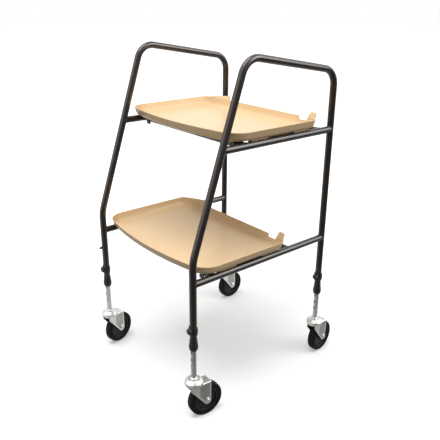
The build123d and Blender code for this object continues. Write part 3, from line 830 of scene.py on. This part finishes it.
# %% Swells, collar backs and foot rings
BACK_START = radians(33)
BACK_END = radians(147)
swell = turned(SWELL)
swell.data.materials.append(black_plastic)
collar = turned(COLLAR_BACK, BACK_START, BACK_END)
collar.data.materials.append(black_plastic)
for kind, piece in (("ferrule_swell", swell), ("collar_back", collar)):
    for copied in at_every_corner(piece, kind).values():
        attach(copied, "frame")
foot_ring = turned(FOOT_RING)
foot_ring.data.materials.append(cap_plate)
for corner, copied in at_every_corner(foot_ring, "leg_ring").items():
    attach(copied, f"{corner}_leg")

# %% [markdown]
# The thumb pad of each clip has three raised ridges for grip, moulded in one with it. They could be pushed
# out of the pad's own faces, but the pad is a fine CAD mesh with no faces of that shape. So a ridge is a
# soft bar set half into the pad, and two copies above and below join it into one piece.

# %% Grip ridges
RIDGE_LENGTH = 0.0085
RIDGE_HEIGHT = 0.0013
RIDGE_RISE = 0.0006
RIDGE_PITCH = 0.0032
RIDGE_EDGE = RIDGE_RISE / 2
pad_low, pad_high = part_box(f"{CORNERS[0]}_clip")
pad_middle = (pad_low + pad_high) / 2
ridge_middle = Vector((pad_middle.x, pad_low.y + RIDGE_RISE / 4, pad_middle.z))
ridge = soft_bar(ridge_middle, (RIDGE_LENGTH, 2 * RIDGE_RISE, RIDGE_HEIGHT), RIDGE_EDGE)
rows = [ridge] + [own_copy(ridge, "row", UP * step * RIDGE_PITCH) for step in (-1, 1)]
bpy.ops.object.select_all(action="DESELECT")
for row in rows:
    row.select_set(True)
bpy.context.view_layer.objects.active = ridge
bpy.ops.object.join()
bpy.ops.object.shade_smooth_by_angle(angle=ROUND_ANGLE)
ridge.data.materials.append(black_plastic)
for corner, copied in at_every_corner(ridge, "clip_ridges").items():
    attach(copied, f"{corner}_clip")
print("grip ridges:", len(rows), "on each of", len(CORNERS), "clips")

# %% [markdown]
# Sums on light. The floor and the surround show one thing to the camera and another to what mirrors or
# gathers light, as a photographer does who lights the backdrop apart from the product. A Light Path node
# tells which kind of ray asks. These helpers do the sums on its answer and on where the ray points.

# %% Sums on light
def how_far(tree, source, direction):
    """How far a vector reaches in a direction."""
    dot = tree.nodes.new("ShaderNodeVectorMath")
    dot.operation = "DOT_PRODUCT"
    dot.inputs[1].default_value = direction
    tree.links.new(source, dot.inputs[0])
    return dot.outputs["Value"]


def fill_sockets(tree, sockets, values):
    """Puts a plain number on its socket, or links an output to it."""
    for socket, value in zip(sockets, values):
        if isinstance(value, float):
            socket.default_value = value
        else:
            tree.links.new(value, socket)


def reckon(tree, operation, first, second):
    """Two values added or multiplied."""
    sums = tree.nodes.new("ShaderNodeMath")
    sums.operation = operation
    fill_sockets(tree, sums.inputs, (first, second))
    return sums.outputs[0]


def choose(tree, ray_kind, otherwise, chosen):
    """One value for a kind of ray, and another for the rest."""
    mix = tree.nodes.new("ShaderNodeMix")
    tree.links.new(ray_kind, mix.inputs["Factor"])
    fill_sockets(tree, mix.inputs[2:4], (otherwise, chosen))
    return mix.outputs[0]


print("the floor and the surround differ for camera rays, mirrored rays and the rest")

# %% [markdown]
# The floor is plain and pale. Lit like the trolley alone, it would end in a grey edge against the white
# behind it. So to the camera it also glows, more so the further away it lies: the soft shadow stays and the
# far edge melts away. To what lies above it the floor is darker, which keeps the undersides of the trays
# from looking lit from below.

# %% Floor as the camera sees it
FLOOR_SIZE = 40
FLOOR_SEEN = (0.95, 0.95, 0.95)
FLOOR_BOUNCE = (0.2, 0.2, 0.2)
FLOOR_ROUGHNESS = 0.9
FLOOR_SHINE = 0.1
GLOW_START, GLOW_END = 0.6, 1.8
GLOW_NEAR, GLOW_FAR = 0.31, 0.9
bpy.ops.object.select_all(action="DESELECT")
bpy.ops.mesh.primitive_plane_add(size=FLOOR_SIZE, location=(0, 0, 0))
floor = bpy.context.object
floor.name = "floor"
floor_finish = bpy.data.materials.new("floor_finish")
floor_finish.use_nodes = True
floor.data.materials.append(floor_finish)
tree = floor_finish.node_tree
shader = tree.nodes["Principled BSDF"]
shader.inputs["Roughness"].default_value = FLOOR_ROUGHNESS
shader.inputs["Specular IOR Level"].default_value = FLOOR_SHINE
ray = tree.nodes.new("ShaderNodeLightPath")
seen = ray.outputs["Is Camera Ray"]
place = tree.nodes.new("ShaderNodeTexCoord").outputs["Object"]
tree.links.new(two_tone(tree, seen, FLOOR_BOUNCE, FLOOR_SEEN, 0, 1), shader.inputs["Base Color"])
distance = tree.nodes.new("ShaderNodeVectorMath")
distance.operation = "LENGTH"
tree.links.new(place, distance.inputs[0])
white = spread(tree, distance.outputs["Value"], GLOW_NEAR, GLOW_FAR, GLOW_START, GLOW_END)
glow = tree.nodes.new("ShaderNodeEmission")
tree.links.new(reckon(tree, "MULTIPLY", seen, white), glow.inputs["Strength"])
lit_floor = tree.nodes.new("ShaderNodeAddShader")
tree.links.new(shader.outputs[0], lit_floor.inputs[0])
tree.links.new(glow.outputs[0], lit_floor.inputs[1])
print("floor glows", GLOW_NEAR, "up to", GLOW_START, "m away and", GLOW_FAR, "from", GLOW_END, "m on")

# %% [markdown]
# Chrome mirrors the floor, and an even floor would make the legs look flat and grey. In a studio the paper
# is white towards the backdrop and falls off into the dark room behind the camera, so that is what mirrored
# rays meet here. This second floor is only seen in bright things, and it casts no light on the matt ones.

# %% Floor as bright metal mirrors it
WHITE_SIDE = (-0.95, 0.3, 0)
MIRRORED_START, MIRRORED_END = -0.75, 0.1
MIRRORED_DARK, MIRRORED_WHITE = 0.05, 0.85
side = how_far(tree, place, WHITE_SIDE)
paper = spread(tree, side, MIRRORED_DARK, MIRRORED_WHITE, MIRRORED_START, MIRRORED_END)
mirrored_floor = tree.nodes.new("ShaderNodeEmission")
tree.links.new(paper, mirrored_floor.inputs["Strength"])
choice = tree.nodes.new("ShaderNodeMixShader")
tree.links.new(ray.outputs["Is Glossy Ray"], choice.inputs["Fac"])
tree.links.new(lit_floor.outputs[0], choice.inputs[1])
tree.links.new(mirrored_floor.outputs[0], choice.inputs[2])
tree.links.new(choice.outputs[0], tree.nodes["Material Output"].inputs["Surface"])
print("mirrored floor goes from", MIRRORED_DARK, "to", MIRRORED_WHITE, "towards", WHITE_SIDE)

# %% [markdown]
# The surround. Polished tube and chrome show what stands round them more than their own colour, so an even
# white world would make them flat. A picture of a studio could be wrapped round the scene, but three soft
# patches do as well: the white backdrop behind, and soft boxes to the front and to the right rear. Each has
# a direction, the share of straight towards it where it begins and is full, and a strength in its middle.
# Between them it is dark. Matt surfaces only gather an even, weak light, and the camera sees white.

# %% World
SOFT_PATCHES = {
    "backdrop": {"direction": (-0.72, 0.6, 0.35), "begins": 0.25, "full": 0.8, "strength": 0.85},
    "front box": {"direction": (-0.25, -0.85, 0.46), "begins": 0.7, "full": 0.9, "strength": 1.6},
    "right box": {"direction": (0.63, 0.62, 0.47), "begins": 0.88, "full": 0.96, "strength": 4.5},
}
DARK = 0.22
DOME = 0.35
WHITE = 1.0
world = bpy.data.worlds.new("studio")
bpy.context.scene.world = world
world.use_nodes = True
tree = world.node_tree
sky = tree.nodes["Background"]
sky.inputs["Color"].default_value = (1, 1, 1, 1)
place = tree.nodes.new("ShaderNodeTexCoord").outputs["Generated"]
ray = tree.nodes.new("ShaderNodeLightPath")
surround = DARK
for name, patch in SOFT_PATCHES.items():
    reach = how_far(tree, place, Vector(patch["direction"]).normalized())
    shine = spread(tree, reach, 0.0, patch["strength"], patch["begins"], patch["full"])
    surround = reckon(tree, "ADD", shine, surround)
    print(name, "towards", patch["direction"], "with strength", patch["strength"])
gathered = choose(tree, ray.outputs["Is Glossy Ray"], DOME, surround)
level = choose(tree, ray.outputs["Is Camera Ray"], gathered, WHITE)
tree.links.new(level, sky.inputs["Strength"])

# %% [markdown]
# The lamps. Matt surfaces and the shadow are shaped by two soft boxes: a large one high over the front, and
# a smaller and weaker one at the right rear, which lights the sides that the first leaves dark. A sun would
# give a sharp shadow, and the one in the photograph is soft, so both are area lamps.

# %% Lamps
def lamp(name, place, aim, size, power):
    """A square area lamp at a place, turned to face a point."""
    light = bpy.data.objects.new(name, bpy.data.lights.new(name, "AREA"))
    bpy.context.scene.collection.objects.link(light)
    light.data.shape = "SQUARE"
    light.data.size = size
    light.data.energy = power
    light.location = place
    light.rotation_mode = "QUATERNION"
    light.rotation_quaternion = (Vector(aim) - Vector(place)).to_track_quat("-Z", "Y")
    print(name, "lamp of", power, "W at", place)


lamp("key", place=(0.12, -0.78, 3.5), aim=(0, 0, 0.4), size=2.2, power=83)
lamp("fill", place=(1.7, 1.2, 2.3), aim=(0, 0, 0.3), size=1.4, power=20)
bpy.context.scene.view_settings.view_transform = "Standard"
